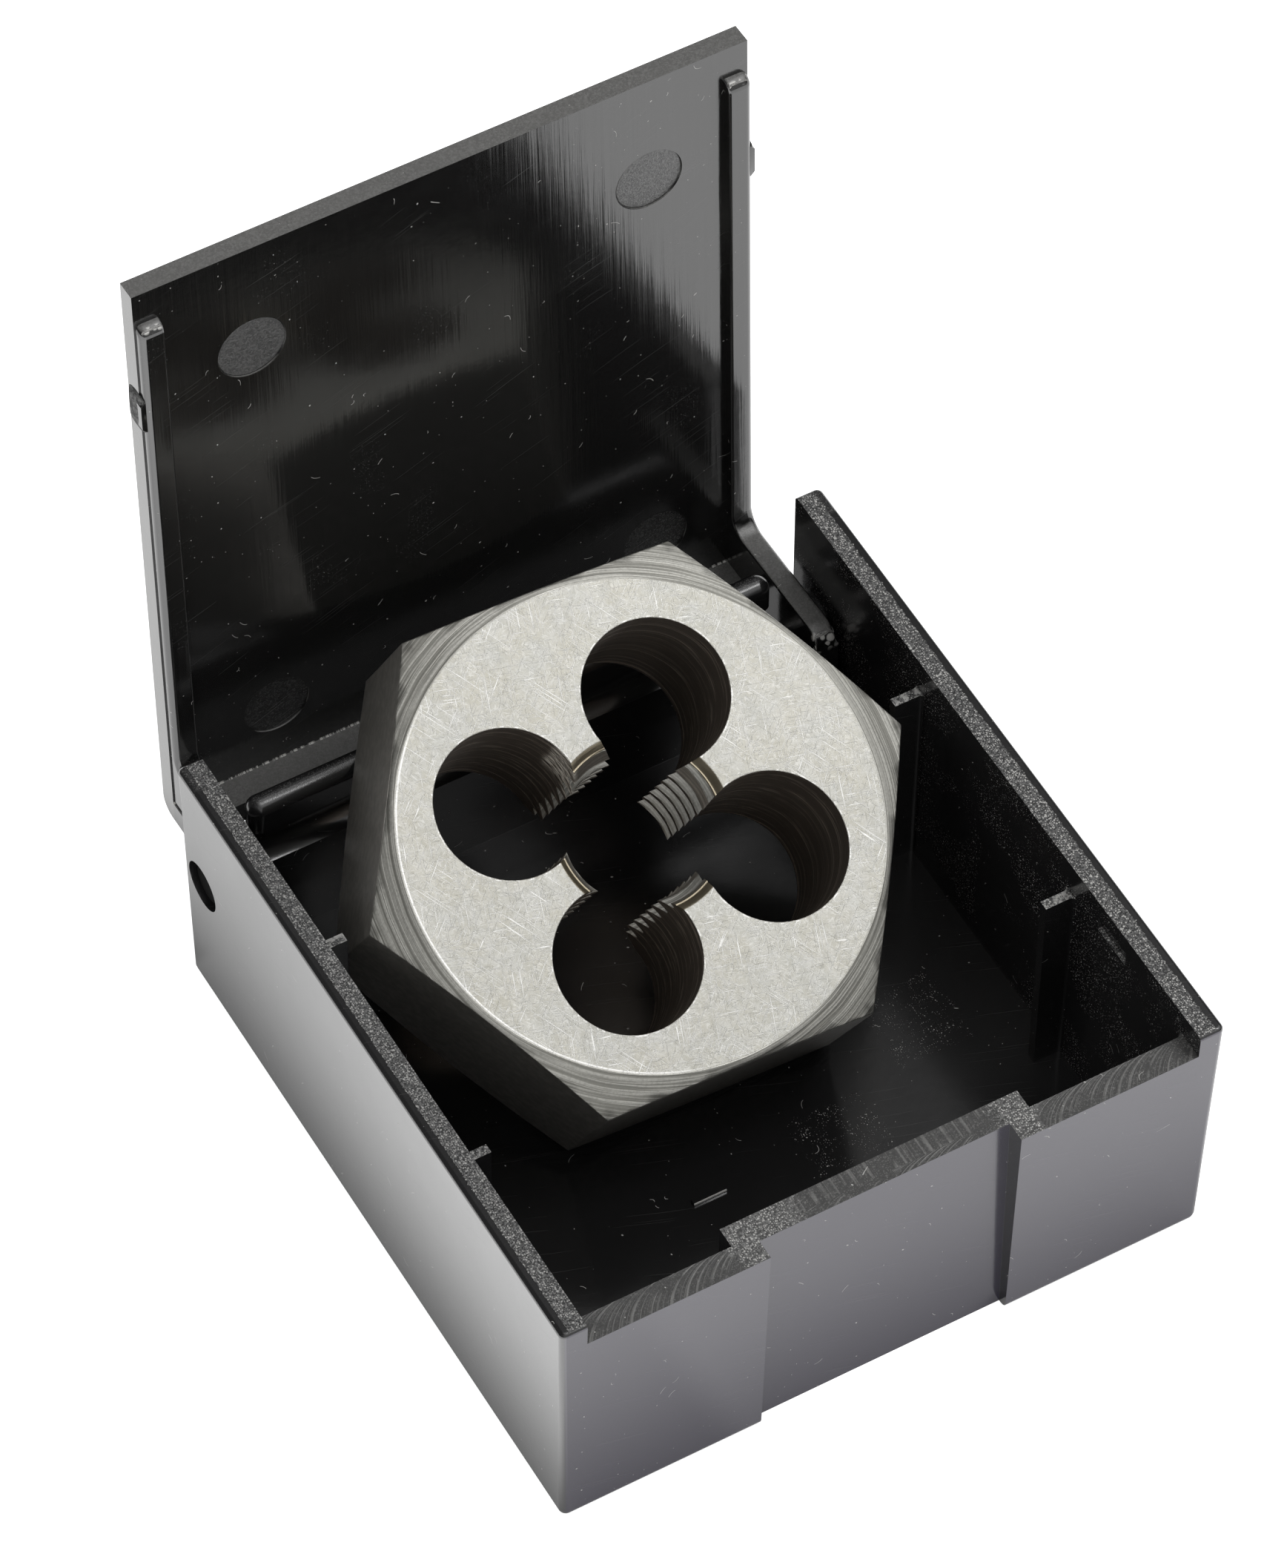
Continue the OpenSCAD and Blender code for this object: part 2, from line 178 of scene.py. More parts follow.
class Shade:
    """Adds nodes to one node tree. Each pattern call returns the socket that carries its value."""

    def __init__(self, tree):
        self.tree = tree

    def node(self, kind, inputs=None, **settings):
        made = self.tree.nodes.new(kind)
        for key, value in settings.items():
            setattr(made, key, value)
        for key, value in (inputs or {}).items():
            self.put(made.inputs[key], value)
        return made

    def put(self, socket, value):
        if isinstance(value, bpy.types.NodeSocket):
            self.tree.links.new(value, socket)
        else:
            socket.default_value = value

    def math(self, operation, a, b=0.0, clamp=False):
        made = self.node("ShaderNodeMath", {0: a, 1: b}, operation=operation, use_clamp=clamp)
        return made.outputs[0]

    def times(self, a, b):
        return self.math("MULTIPLY", a, b)

    def plus(self, a, b):
        return self.math("ADD", a, b)

    def minus(self, a, b):
        return self.math("SUBTRACT", a, b)

    def most(self, a, b):
        return self.math("MAXIMUM", a, b)

    def inverse(self, a):
        return self.math("SUBTRACT", 1.0, a)

    def step(self, value, low, high):
        """0 below low and 1 above high, with a smooth rise between them. A low above the high turns it round."""
        made = self.node("ShaderNodeMapRange", {"Value": value, "From Min": min(low, high), "From Max": max(low, high)},
                         interpolation_type="SMOOTHSTEP")
        if low > high:
            made.inputs["To Min"].default_value = 1
            made.inputs["To Max"].default_value = 0
        return made.outputs["Result"]

    def band(self, value, low, high, soft):
        """1 between low and high, and 0 outside, with soft edges."""
        return self.times(self.step(value, low - soft, low + soft), self.step(value, high + soft, high - soft))

    def blend(self, factor, a, b):
        """A colour between a and b."""
        made = self.node("ShaderNodeMix", {0: factor, 6: colour(a), 7: colour(b)}, data_type="RGBA")
        return made.outputs[2]

    def between(self, factor, a, b):
        """A number between a and b."""
        made = self.node("ShaderNodeMix", {0: factor, 2: a, 3: b}, data_type="FLOAT")
        return made.outputs[0]

    def dot(self, a, b):
        return self.node("ShaderNodeVectorMath", {0: a, 1: b}, operation="DOT_PRODUCT").outputs["Value"]

    def point(self, x=0.0, y=0.0, z=0.0):
        return self.node("ShaderNodeCombineXYZ", {"X": x, "Y": y, "Z": z}).outputs[0]

    def move(self, vector, scale=(1, 1, 1), turn=(0, 0, 0), shift=(0, 0, 0)):
        made = self.node("ShaderNodeMapping", {"Vector": vector, "Location": shift, "Rotation": turn, "Scale": scale})
        return made.outputs["Vector"]

    def split(self, vector):
        return self.node("ShaderNodeSeparateXYZ", {"Vector": vector}).outputs

    def noise(self, vector, scale, detail=2.0, roughness=0.5, dimensions="3D"):
        made = self.node("ShaderNodeTexNoise", {"Vector": vector, "Scale": scale, "Detail": detail,
                                                "Roughness": roughness}, noise_dimensions=dimensions)
        return made.outputs["Fac"]

    def cells(self, vector, scale, dimensions="2D"):
        made = self.node("ShaderNodeTexVoronoi", {"Vector": vector, "Scale": scale}, voronoi_dimensions=dimensions)
        return made.outputs

    def specks(self, vector, apart, size, share, dimensions="2D"):
        """Round dots: one in each cell of width apart, in the given share of the cells."""
        found = self.cells(vector, 1 / apart, dimensions)
        chosen = self.split(found["Color"])
        radius = self.between(chosen["Y"], size * 0.4 / apart, size / apart)
        dot = self.step(self.minus(radius, found["Distance"]), 0.0, size * 0.35 / apart)
        return self.times(dot, self.step(chosen["X"], share + 0.001, share))

    def strokes(self, vector, turn, length, width, low, high, bend=0.0):
        """Streaks of about this length and width at an angle, where stretched noise passes from low to high."""
        turned = self.move(vector, turn=(0, 0, turn))
        if bend:
            parts = self.split(turned)
            shake = self.minus(self.noise(turned, 0.8 / length, 1.0, dimensions="2D"), 0.5)
            turned = self.point(parts["X"], self.plus(parts["Y"], self.times(shake, bend)))
        stretched = self.move(turned, scale=(1 / length, 1 / width, 1), shift=(turn * 17, turn * 5, 0))
        return self.step(self.noise(stretched, 1.0, 0.0, dimensions="2D"), low, high)

    def fibres(self, vector, length, width, share, turn):
        """Short curved fibres, one in each chosen cell, that start along an angle."""
        apart = length * 1.5
        turned = self.move(vector, turn=(0, 0, turn))
        found = self.cells(turned, 1 / apart)
        chosen = self.split(found["Color"])
        away = self.split(self.node("ShaderNodeVectorMath", {0: turned, 1: found["Position"]},
                                    operation="SUBTRACT").outputs[0])
        bow = self.times(self.minus(chosen["Y"], 0.5), 3.0 / length)
        off = self.minus(away["Y"], self.times(bow, self.times(away["X"], away["X"])))
        thin = self.step(self.math("ABSOLUTE", off), width * 0.75, width * 0.3)
        short = self.step(self.math("ABSOLUTE", away["X"]), length * 0.5, length * 0.42)
        return self.times(self.times(thin, short), self.step(chosen["X"], share + 0.001, share))


def colour(value):
    if isinstance(value, bpy.types.NodeSocket):
        return value
    return (*value, 1) if len(value) == 3 else value


def seen_or_mirrored(shade):
    """1 for what the camera sees directly, in a reflection or through glass."""
    path = shade.node("ShaderNodeLightPath").outputs
    seen = shade.plus(path["Is Camera Ray"], path["Is Glossy Ray"])
    return shade.math("ADD", seen, path["Is Transmission Ray"], clamp=True)


def mirrored_glow_painted_shadow(shade):
    """How strongly the floor glows in a reflection, with painted shadow and light in that glow: weak close to the case
    (a painted contact shadow) and under the open lid (a painted shadow of the lid), and strongest at the left front (a
    painted brighter patch)."""
    parts = shade.split(shade.node("ShaderNodeTexCoord").outputs["Object"])
    beside = shade.minus(shade.math("ABSOLUTE", parts["X"]), CASE_HALF_W * MM)
    before = shade.minus(shade.math("ABSOLUTE", parts["Y"]), CASE_HALF_L * MM)
    before = shade.plus(before, shade.between(shade.step(parts["X"], -0.014, -0.01), -0.0009, 0.002))
    # painted contact shadow: the reflected glow fades close to the case's footprint
    away = shade.step(shade.most(shade.times(beside, 1.8), before), -0.004, FLOOR_NEAR)
    left = shade.times(shade.step(parts["X"], -0.024, -0.026), shade.step(parts["Y"], 0.045, -0.012))
    # painted shadow of the open lid on the floor behind the case
    behind = shade.times(shade.step(parts["Y"], 0.0265, 0.0275), shade.step(parts["Y"], 0.046, 0.04))
    lit = shade.inverse(shade.times(behind, shade.step(shade.math("ABSOLUTE", parts["X"]), 0.0275, 0.0255)))
    # the left front of the floor glows stronger in reflections: painted light
    return shade.times(shade.times(away, lit), shade.between(left, 1.4, 2.3))


def make_studio():
    world = bpy.data.worlds.new("studio")
    world.use_nodes = True
    bpy.context.scene.world = world
    shade = Shade(world.node_tree)
    background = world.node_tree.nodes["Background"]
    background.inputs["Color"].default_value = (*WHITE, 1)
    path = shade.node("ShaderNodeLightPath").outputs
    way = shade.node("ShaderNodeTexCoord").outputs["Generated"]
    overhead = shade.step(shade.dot(way, SKY_OVERHEAD), 0.7, 0.92)
    front = shade.times(shade.step(shade.dot(way, SKY_FRONT), 0.6, 0.95), SKY_FRONT_LEVEL)
    mirrored = shade.between(shade.most(overhead, front), SKY_MIRRORED, 1.0)
    seen = shade.math("ADD", path["Is Camera Ray"], path["Is Transmission Ray"], clamp=True)
    level = shade.between(path["Is Glossy Ray"], SKY_FOR_DIFFUSE, mirrored)
    shade.put(background.inputs["Strength"], shade.between(seen, level, 1.0))

    bpy.ops.mesh.primitive_plane_add(size=2 * FLOOR_HALF)
    floor = bpy.context.object
    floor.name = "studio_floor"
    material = bpy.data.materials.new("studio_floor")
    material.use_nodes = True
    shade = Shade(material.node_tree)
    surface = material.node_tree.nodes["Principled BSDF"]
    surface.inputs["Base Color"].default_value = (FLOOR_ALBEDO, FLOOR_ALBEDO, FLOOR_ALBEDO, 1)
    surface.inputs["Roughness"].default_value = 1
    surface.inputs["Specular IOR Level"].default_value = 0
    surface.inputs["Emission Color"].default_value = (*WHITE, 1)
    glossy = shade.node("ShaderNodeLightPath").outputs["Is Glossy Ray"]
    glow = shade.between(glossy, FLOOR_SEEN_GLOW, shade.times(mirrored_glow_painted_shadow(shade), FLOOR_GLOW))
    shade.put(surface.inputs["Emission Strength"], shade.times(seen_or_mirrored(shade), glow))
    floor.data.materials.append(material)

    lamp = bpy.data.objects.new("softbox", bpy.data.lights.new("softbox", "AREA"))
    lamp.data.size = SOFTBOX_SIZE
    lamp.data.energy = SOFTBOX_WATTS
    away = SOFTBOX_FROM.normalized()
    lamp.location = away * SOFTBOX_AWAY
    lamp.rotation_euler = away.to_track_quat("Z", "Y").to_euler()
    bpy.context.scene.collection.objects.link(lamp)


# Materials

def new_material(name):
    material = bpy.data.materials.new(name)
    material.use_nodes = True
    return material, Shade(material.node_tree), material.node_tree.nodes["Principled BSDF"]


def in_frame(shade, to_row):
    """A point of the mesh in millimetres and its normal, both in the frame that to_row carries to the row frame."""
    coordinates = shade.node("ShaderNodeTexCoord").outputs
    place = to_row.to_translation()
    turn = to_row.to_euler()
    point = shade.node("ShaderNodeMapping", {"Vector": coordinates["Object"], "Location": place, "Rotation": turn,
                                             "Scale": (MM, MM, MM)}, vector_type="TEXTURE").outputs["Vector"]
    normal = shade.node("ShaderNodeMapping", {"Vector": coordinates["Normal"], "Rotation": turn},
                        vector_type="TEXTURE").outputs["Vector"]
    return point, normal


def on_face(shade, point, normal):
    """A flat place in millimetres on the plane that a face lies nearest to: XY, YZ or XZ."""
    parts = shade.split(point)
    facing = shade.split(normal)
    sideways = shade.step(shade.math("ABSOLUTE", facing["X"]), 0.6, 0.75)
    upright = shade.step(shade.math("ABSOLUTE", facing["Z"]), 0.6, 0.75)
    return shade.point(shade.between(sideways, parts["X"], parts["Y"]), shade.between(upright, parts["Z"], parts["Y"]))


def within(shade, value, middle, half, soft=0.1):
    """1 where a number lies within half of the middle, with a soft edge."""
    return shade.step(shade.math("ABSOLUTE", shade.minus(value, middle)), half + soft, half)


def set_bump(shade, surface, height_mm):
    bump = shade.node("ShaderNodeBump", {"Strength": 1.0, "Distance": MM, "Height": height_mm})
    shade.put(surface.inputs["Normal"], bump.outputs["Normal"])


CASE_PLASTIC = (0.0145, 0.0143, 0.0148)
# a lighter, bluish copy of the case plastic for the outer front faces: painted light on the front side
FRONT_PLASTIC_PAINTED_LIGHT = (0.026, 0.021, 0.046)
LID_PLASTIC = (0.0105, 0.0104, 0.0102)
# near-white for dust, cut marks and scratches, and also for painted glints and highlights
PLASTIC_DUST_AND_GLINT = (0.80, 0.79, 0.76)
PLASTIC_WORN = (0.25, 0.25, 0.246)
PLASTIC_IOR = 1.85


def plastic(name, tint, to_row, zones, gloss):
    """Black moulded plastic. zones gives its eroded faces, their brightness, cut marks, dust, painted glints and
    highlights, a painted lighter front, and streaks.
    """
    material, shade, surface = new_material(name)
    point, normal = in_frame(shade, to_row)
    flat = on_face(shade, point, normal)
    zone = zones(shade, point, normal, flat)
    eroded, cut = zone["eroded"], zone["cut"]

    grain = shade.noise(point, 6.5, 3.0, 0.75)
    fine = shade.noise(point, 15.0, 2.0, 0.6)
    worn = shade.times(shade.step(grain, 0.42, 0.62), shade.between(fine, 0.4, 1.3))
    # painted glints: bright specks on the eroded grain
    sparkle = shade.most(shade.specks(flat, 0.15, 0.075, 0.55), shade.specks(flat, 0.3, 0.11, 0.2))
    cloud = shade.noise(point, 0.3, 3.0, 0.55)
    drift = shade.times(shade.minus(shade.noise(flat, 0.17, 2.0), 0.5), 5.0)
    adrift = shade.node("ShaderNodeVectorMath", {0: flat, 1: shade.point(drift, shade.times(drift, -0.6))},
                        operation="ADD").outputs[0]
    gather = shade.step(shade.noise(flat, 0.12, 2.0), 0.42, 0.62)
    dots = shade.most(shade.specks(adrift, 3.1, 0.075, 0.45),
                      shade.times(shade.specks(shade.move(adrift, turn=(0, 0, 0.6)), 1.2, 0.055, 0.26), gather))
    threads = shade.most(shade.fibres(adrift, 0.45, 0.035, 0.008, 1.0),
                         shade.fibres(adrift, 0.8, 0.035, 0.008, 2.4))
    thick = shade.most(shade.specks(flat, 0.36, 0.06, 0.35), shade.specks(flat, 0.16, 0.034, 0.45))
    dust = shade.most(shade.times(shade.most(dots, threads), 0.8), shade.times(thick, zone["dusty"]))
    scratches = shade.strokes(flat, 0.35, 9.0, 0.07, 0.84, 0.88, 1.0)

    # the outer front faces get the lighter, bluish copy of the plastic: painted light on the front side
    base = shade.blend(zone["front"], tint, FRONT_PLASTIC_PAINTED_LIGHT)
    base = shade.blend(shade.times(eroded, worn), base, PLASTIC_WORN)
    # painted glints on the eroded grain, as bright as the zones give, which is stronger on the right side: painted
    # light
    base = shade.blend(shade.times(eroded, shade.times(sparkle, zone["bright"])), base, PLASTIC_DUST_AND_GLINT)
    base = shade.blend(shade.times(cut, 0.17), base, PLASTIC_DUST_AND_GLINT)
    base = shade.blend(shade.times(scratches, 0.05), base, PLASTIC_DUST_AND_GLINT)
    base = shade.blend(shade.times(dust, 0.9), base, PLASTIC_DUST_AND_GLINT)
    # pale marks from the zones, most of them painted glints and highlights
    base = shade.blend(zone["pale_and_painted_glints"], base, PLASTIC_DUST_AND_GLINT)
    shade.put(surface.inputs["Base Color"], base)
    smooth = shade.plus(gloss, shade.times(shade.minus(cloud, 0.5), 0.1))
    smooth = shade.plus(smooth, shade.plus(shade.times(scratches, 0.08), shade.times(cut, 0.2)))
    rough = shade.between(shade.most(eroded, dust), smooth, 0.55)
    shade.put(surface.inputs["Roughness"], shade.between(zone["dull"], rough, 1.0))
    shade.put(surface.inputs["Metallic"], zone["dull"])
    surface.inputs["IOR"].default_value = PLASTIC_IOR

    relief = shade.times(eroded, shade.plus(shade.times(grain, 0.07), shade.times(fine, 0.035)))
    relief = shade.times(relief, shade.between(zone["coarse"], 1.0, 2.2))
    sheen = shade.times(shade.inverse(eroded), zone["streaks"])
    peel = shade.times(shade.noise(point, 0.9, 2.0), 0.004)
    marks = shade.times(cut, 0.01)
    set_bump(shade, surface, shade.plus(shade.plus(relief, sheen), shade.plus(peel, marks)))
    return material


def case_zones(shade, point, normal, flat):
    """The base: eroded rims and fin tops, cutter arcs on the front wall, dust, and dull fields on the floor, with
    painted glints on the fin tops and on the floor bar's front edge, and a lighter, bluish copy of the plastic on the
    outer front faces as painted light.
    """
    parts = shade.split(point)
    facing = shade.split(normal)
    x, y, z = parts["X"], parts["Y"], parts["Z"]
    upward = shade.step(facing["Z"], 0.8, 0.95)
    nibble = shade.times(shade.minus(shade.noise(point, 2.2, 3.0, 0.7), 0.5), 0.9)

    side = shade.math("ABSOLUTE", x)
    rim = shade.times(shade.step(z, CASE_H - 0.5, CASE_H - 0.3), shade.step(shade.plus(side, shade.times(nibble, 0.4)), RIM_EDGE + 0.05, RIM_EDGE))
    fins = shade.times(shade.step(z, 19.5, 19.8), shade.step(z, 20.5, 20.3))
    front = shade.times(shade.step(z, 20.6, 20.7), shade.step(z, 21.1, 21.0))
    inner = shade.step(shade.plus(y, nibble), RECESS_Y - 0.3, RECESS_Y + 0.1)
    near_left = shade.step(shade.plus(x, shade.times(nibble, 4.0)), -5.0, -8.0)
    near_right = shade.step(shade.plus(x, shade.times(nibble, 4.0)), 8.5, 10.0)
    speckled = shade.times(shade.most(near_left, near_right), shade.most(inner, shade.step(side, 12.0, 11.4)))
    speckled = shade.times(speckled, shade.step(side, 12.6, 11.8))
    front_eroded = shade.times(front, shade.most(speckled, 0.12))
    rear = shade.times(shade.step(z, 15.0, 16.5), shade.step(y, REAR_Y - 0.5, REAR_Y))
    eroded = shade.times(upward, shade.most(shade.most(rim, fins), shade.most(front_eroded, shade.times(rear, 0.15))))

    from_centre = shade.minus(y, RECESS_Y + 0.6 - ARC_R)
    sweep = shade.math("SQRT", shade.most(shade.minus(ARC_R ** 2, shade.times(from_centre, from_centre)), 0.0))
    arcs = shade.noise(shade.point(shade.plus(x, sweep)), 2.6, 2.0, 0.55, "2D")
    ridge = shade.times(shade.step(arcs, 0.46, 0.7), shade.step(shade.noise(flat, 0.5, 1.0), 0.3, 0.55))
    cut = shade.times(shade.times(front, upward), shade.times(ridge, shade.inverse(speckled)))

    # the outer front faces, which get the painted lighter copy of the plastic
    outside = shade.times(shade.step(facing["Y"], -0.8, -0.95), shade.step(y, RECESS_Y + 2.0, RECESS_Y + 1.0))
    low = shade.step(z, 2.4, 2.2)
    dull = 0.0
    for middle_x, middle_y, half_x, half_y in DULL_FIELDS:
        field = shade.times(within(shade, shade.plus(x, nibble), middle_x, half_x, 0.4),
                            within(shade, shade.plus(y, nibble), middle_y, half_y, 0.4))
        dull = shade.most(dull, shade.times(field, low))
    inside = shade.times(shade.step(x, 23.3, 23.5), shade.step(facing["X"], -0.8, -0.95))
    patchy = shade.step(shade.noise(point, 0.22, 2.0), 0.4, 0.6)
    broken = shade.step(shade.noise(point, 0.9, 3.0, 0.7), 0.42, 0.6)
    dusty = shade.most(shade.times(dull, broken), shade.times(shade.times(inside, patchy), 0.9))
    # painted glint along the front edge of the small bar on the floor
    bar_edge_glint = shade.times(shade.times(within(shade, x, -BAR_X, 1.3), within(shade, y, BAR_Y - 0.25, 0.06, 0.05)),
                      shade.times(low, shade.step(z, 1.95, 2.05)))
    # painted glints on the fin tops
    glint = shade.times(shade.times(fins, upward), shade.step(shade.noise(point, 1.6, 3.0, 0.7), 0.46, 0.6))
    glint = shade.times(glint, shade.step(side, 23.9, 23.7))
    hazy = shade.times(shade.times(front, upward), 0.06)
    haze = shade.times(shade.times(shade.step(x, 11.0, 18.0), shade.step(y, -16.0, -8.0)), shade.times(low, 0.02))
    pale_and_painted_glints = shade.most(shade.most(shade.times(bar_edge_glint, 0.9), shade.times(glint, 0.75)), shade.most(hazy, haze))
    # brightness of the painted glints on the eroded grain, stronger towards the right side: painted light
    bright = shade.between(shade.step(x, -20.0, 0.0), 0.6, 0.85)
    streaks = shade.times(shade.noise(shade.move(point, scale=(1.6, 1.6, 0.1)), 1.0, 3.0, 0.65), 0.003)
    return {"eroded": eroded, "bright": bright, "cut": cut, "dusty": dusty, "pale_and_painted_glints": pale_and_painted_glints,
            "streaks": streaks, "front": outside, "coarse": 0.0, "dull": 0.0}


def lid_zones(shade, point, normal, flat):
    """The lid: eroded front edge and ejector marks, dust towards the hinge, and fine streaks along the plate, with
    painted glints on the strip tips, the ear ends and the flange seam, a painted highlight on the side edges, and hinge
    pin ends made black as painted shade.
    """
    parts = shade.split(point)
    facing = shade.split(normal)
    x, y, z = parts["X"], parts["Y"], parts["Z"]
    front_edge = shade.times(shade.step(facing["Y"], -0.6, -0.85), 0.35)
    side = shade.minus(shade.math("ABSOLUTE", shade.minus(x, MARK_SHIFT)), MARK_X)
    marks = 0.0
    for row in range(2):
        along = shade.minus(y, MARK_Y + row * MARK_PITCH)
        away = shade.math("SQRT", shade.plus(shade.times(side, side), shade.times(along, along)))
        disc = shade.times(shade.step(away, MARK_R + 0.05, MARK_R - 0.1), shade.step(z, LID_UNDER + 0.3, LID_UNDER + 0.2))
        marks = shade.most(marks, shade.times(disc, (0.4, 0.2)[row]))
    under = shade.step(facing["Z"], -0.8, -0.95)
    marks = shade.times(marks, under)
    eroded = shade.most(front_edge, marks)
    dusty = shade.times(shade.step(shade.noise(point, 0.2, 2.0), 0.5, 0.75), 0.1)
    # the plate's side edges, which get a painted highlight
    side_edge_painted_highlight = shade.times(shade.step(shade.math("ABSOLUTE", facing["X"]), 0.85, 0.95), shade.step(z, LID_UNDER - 0.02, LID_UNDER + 0.02))
    fine = shade.noise(shade.move(point, scale=(7.0, 0.14, 0.14)), 1.0, 3.0, 0.6)
    coarse = shade.noise(shade.move(point, scale=(2.0, 0.06, 0.06)), 1.0, 2.0, 0.6)
    streaks = shade.plus(shade.times(fine, 0.004), shade.times(coarse, 0.012))
    side_x = shade.math("ABSOLUTE", x)
    # painted glints on the strip tips and the ear ends
    tip = shade.times(shade.step(y, STRIP_TIP_Y + 0.5, STRIP_TIP_Y + 0.3), shade.step(z, LID_UNDER - 0.3, LID_UNDER - 0.5))
    ear_end = shade.times(shade.step(z, EAR_END_Z + 0.9, EAR_END_Z + 0.5), shade.step(y, EAR_Y + 2.0, EAR_Y + 1.2))
    glinting_ends = shade.times(shade.most(tip, ear_end), shade.step(side_x, 21.0, 21.4))
    glints = shade.times(glinting_ends, shade.specks(flat, 0.5, 0.34, 0.85))
    # the hinge pin ends are made rough and metallic with a black base so they look black: painted shade in the hinge
    # holes
    pin_ends = shade.step(side_x, 24.8, 25.0)
    # a painted beaded highlight along the seam at the flange's edge
    seam = shade.times(within(shade, z, LID_UNDER, 0.1, 0.05), within(shade, y, SEAM_Y, 0.1, 0.05))
    glint_beads = shade.step(shade.noise(shade.point(x), 2.2, 3.0, 0.7, "2D"), 0.46, 0.56)
    glints = shade.most(glints, shade.times(seam, glint_beads))
    # painted highlight on the side edges, and the front edge painted lighter
    pale_and_painted_glints = shade.most(shade.times(side_edge_painted_highlight, 0.12), shade.times(front_edge, 0.5))
    # brightness of the painted glints on the eroded grain, stronger on the right side: painted light
    return {"eroded": eroded, "bright": shade.between(shade.step(x, 0.0, 5.0), 0.06, 0.16),
            "cut": 0.0, "dusty": dusty, "pale_and_painted_glints": shade.most(pale_and_painted_glints, glints), "streaks": shade.times(streaks, under),
            "front": 0.0, "coarse": marks, "dull": pin_ends}


STEEL = (0.42, 0.417, 0.383)
STEEL_LIGHT = (0.72, 0.715, 0.69)
# near-white for the painted highlights on the face's rim and the chip hole edges
STEEL_PAINTED_GLINT = (0.95, 0.94, 0.92)
STEEL_DARK = (0.31, 0.303, 0.27)
STEEL_WARM = (0.425, 0.412, 0.358)
CORNER_LIGHT = (0.73, 0.72, 0.665)
CORNER_DARK = (0.385, 0.378, 0.342)
HOLE_LIGHT = (0.95, 0.85, 0.74)
HOLE_DARK = (0.36, 0.31, 0.265)
FLAT_LIGHT = (0.36, 0.345, 0.315)
FLAT_DARK = (0.26, 0.248, 0.225)
LEAD_BROWN = (0.42, 0.36, 0.25)
SCUFF_LIGHT = (0.98, 0.93, 0.82)


def rim_light(shade, parts, radius, mottle):
    """Painted highlights: a bright line along the left of the face's circle, and broken glints here and there round the
    chip holes.
    """
    left = shade.step(shade.plus(parts["X"], shade.times(parts["Y"], 0.3)), -6.0, -12.0)
    line = shade.times(within(shade, radius, FACE_R - 0.1, 0.03, 0.07), left)
    broken = shade.step(mottle, 0.5, 0.6)
    for hole in range(CHIP_HOLES):
        angle = FIRST_HOLE + hole * 2 * math.pi / CHIP_HOLES
        across = shade.minus(parts["X"], CHIP_AWAY * math.cos(angle))
        along = shade.minus(parts["Y"], CHIP_AWAY * math.sin(angle))
        away = shade.math("SQRT", shade.plus(shade.times(across, across), shade.times(along, along)))
        line = shade.most(line, shade.times(within(shade, away, CHIP_R + 0.07, 0.04, 0.06), broken))
    return line


